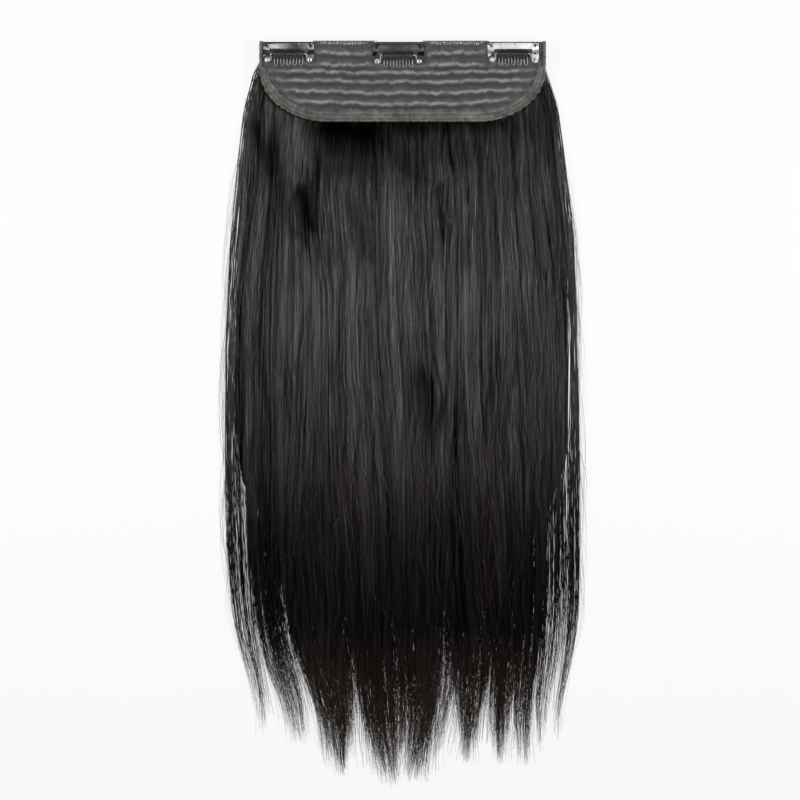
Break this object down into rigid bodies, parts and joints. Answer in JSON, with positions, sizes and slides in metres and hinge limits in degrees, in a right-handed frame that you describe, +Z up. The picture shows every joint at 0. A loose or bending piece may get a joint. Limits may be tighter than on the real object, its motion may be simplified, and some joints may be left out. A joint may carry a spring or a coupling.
{
  "type": "clip in hair extension",
  "caption": "Long straight clip-in hair extension: a half-moon net base bound with tape, rows of weft under it, and snap comb clips along its straight edge.",
  "frame": {"origin": "middle of the piece's outline, on the table it lies on", "axes": "+X to the right along the clip edge, +Y from the hair's tips up to the clip edge, +Z up off the table, out of the side that lies against the wearer's head"},
  "size_m": [0.2216, 0.455, 0.013],
  "materials": {
    "hair": "satin",
    "net": "matte",
    "tape": "matte",
    "weft": "matte",
    "dark_steel": "gloss",
    "bright_steel": "satin",
    "brass": "gloss",
    "cord": "matte"
  },
  "bodies": {
    "base": {"hair": "hair", "net_base": "net", "binding_tape": "tape", "weft_1": "weft", "weft_2": "weft", "weft_3": "weft", "weft_4": "weft", "weft_5": "weft", "weft_6": "weft", "clip_left_strip": "dark_steel", "clip_middle_strip": "dark_steel", "clip_right_strip": "bright_steel"},
    "clip_left_front": {"clip_left_comb": "dark_steel", "clip_left_grip": "cord", "clip_left_arm_l": "dark_steel", "clip_left_rivet_l": "brass", "clip_left_arm_r": "dark_steel", "clip_left_rivet_r": "brass"},
    "clip_middle_front": {"clip_middle_comb": "dark_steel", "clip_middle_grip": "cord", "clip_middle_arm_l": "dark_steel", "clip_middle_rivet_l": "brass", "clip_middle_arm_r": "dark_steel", "clip_middle_rivet_r": "brass"},
    "clip_right_front": {"clip_right_comb": "dark_steel", "clip_right_grip": "cord", "clip_right_arm_l": "bright_steel", "clip_right_rivet_l": "bright_steel", "clip_right_arm_r": "bright_steel", "clip_right_rivet_r": "bright_steel"}
  },
  "joints": [
    {"name": "clip_left_open", "type": "hinge", "parent": "base", "child": "clip_left_front", "pos_m": [-0.07011, 0.22185, 0.0102], "axis": [-1, 0, 0], "range_deg": [0, 35]},
    {"name": "clip_middle_open", "type": "hinge", "parent": "base", "child": "clip_middle_front", "pos_m": [-0.00251, 0.22085, 0.0102], "axis": [-1, 0, 0], "range_deg": [0, 35]},
    {"name": "clip_right_open", "type": "hinge", "parent": "base", "child": "clip_right_front", "pos_m": [0.06829, 0.22185, 0.0102], "axis": [-1, 0, 0], "range_deg": [0, 35]}
  ]
}
